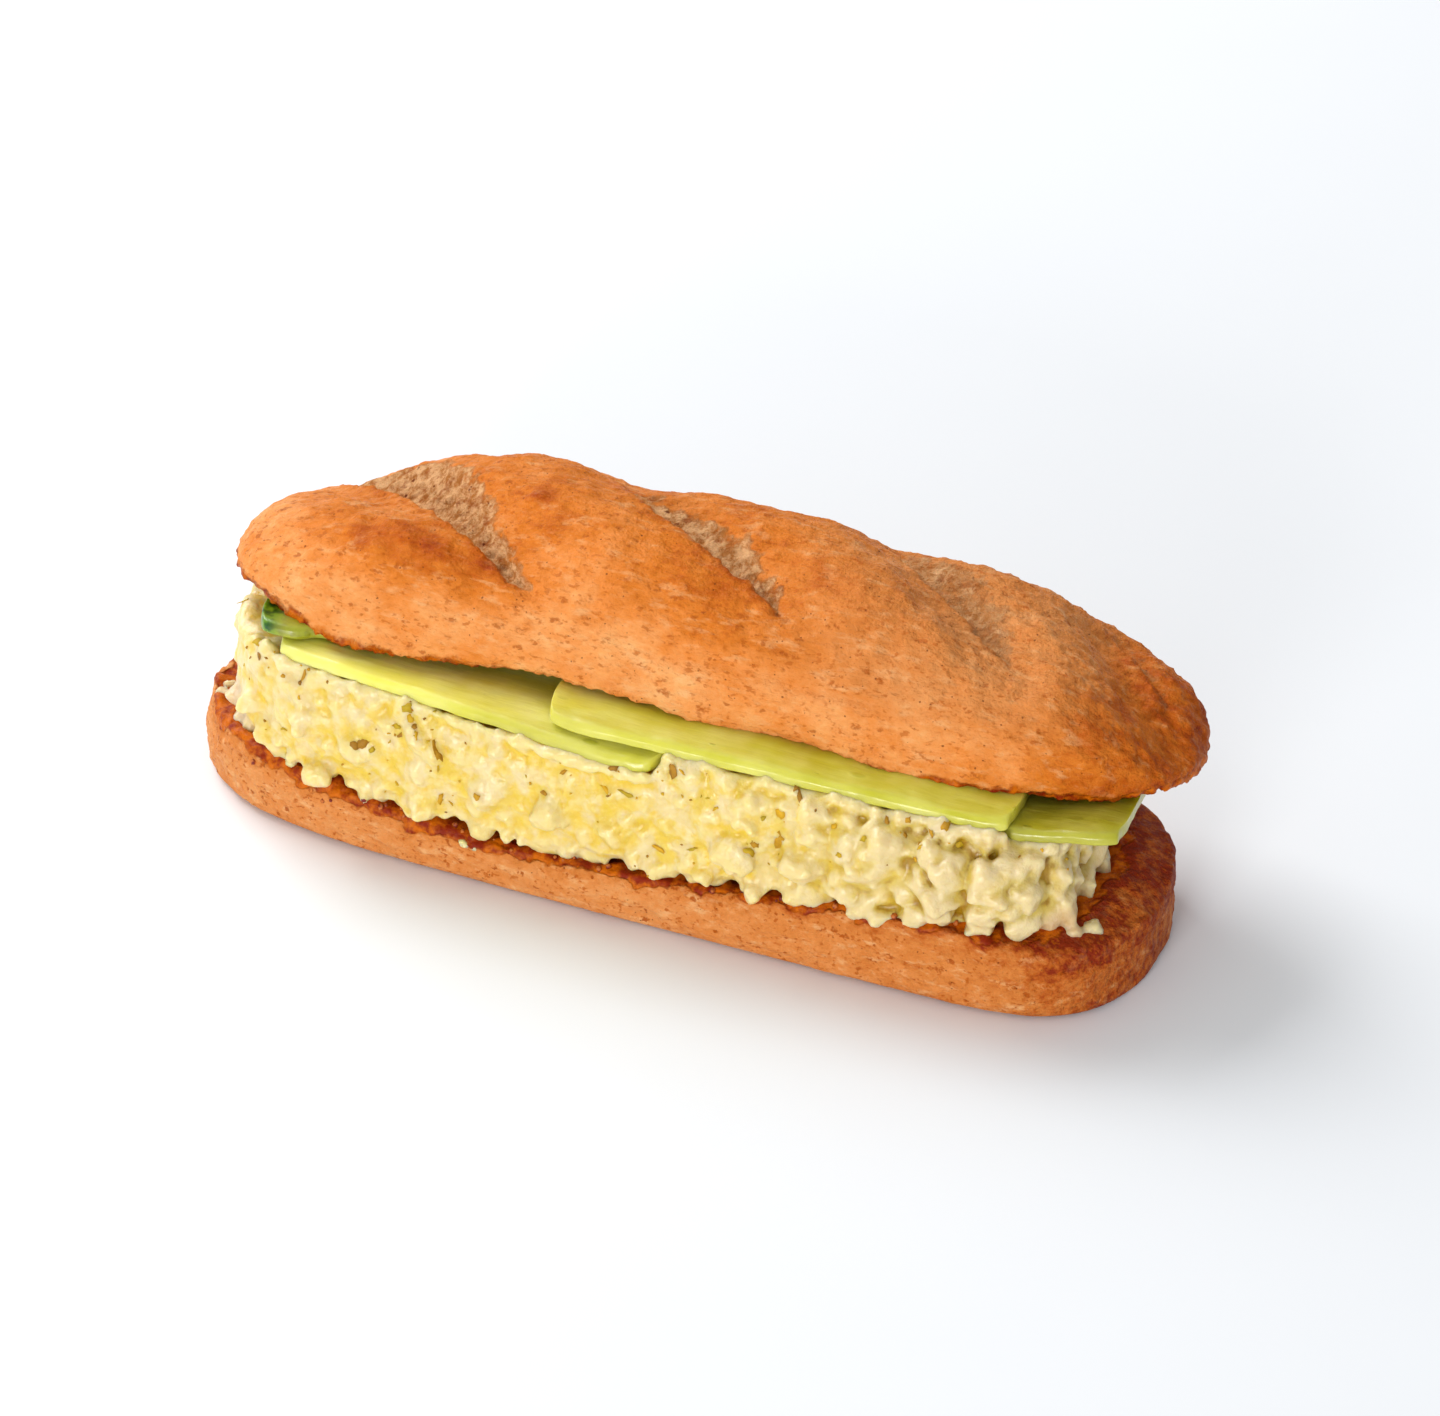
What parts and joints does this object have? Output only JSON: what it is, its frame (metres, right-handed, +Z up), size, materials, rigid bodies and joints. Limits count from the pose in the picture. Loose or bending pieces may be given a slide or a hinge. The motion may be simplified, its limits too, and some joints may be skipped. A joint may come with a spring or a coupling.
{
  "type": "halloumi sandwich",
  "caption": "Long slashed whole-grain roll cut in two, filled with crumbled halloumi under overlapping lengthwise slices of cucumber.",
  "frame": {"origin": "on the surface that the sandwich stands on, under the middle of its box", "axes": "+X runs along the roll to its thicker right end, the open side that is seen faces -Y, +Z is up"},
  "size_m": [0.212, 0.0756, 0.0737],
  "materials": {
    "bread_base": "peach-tan bread crust with fine bran specks and a dark toasted rim",
    "bread_top": "orange-brown baked crust with bran specks and paler crumb in the slashes",
    "halloumi": "moist pale yellow-white crumbled cheese with dried herb flakes",
    "cucumber": "wet yellow-green cucumber flesh"
  },
  "bodies": {
    "root": {"bread_base": "bread_base", "bread_top": "bread_top", "halloumi_crumble": "halloumi", "cucumber_back_left": "cucumber", "cucumber_front_left": "cucumber", "cucumber_front_middle": "cucumber", "cucumber_right": "cucumber"}
  },
  "joints": []
}
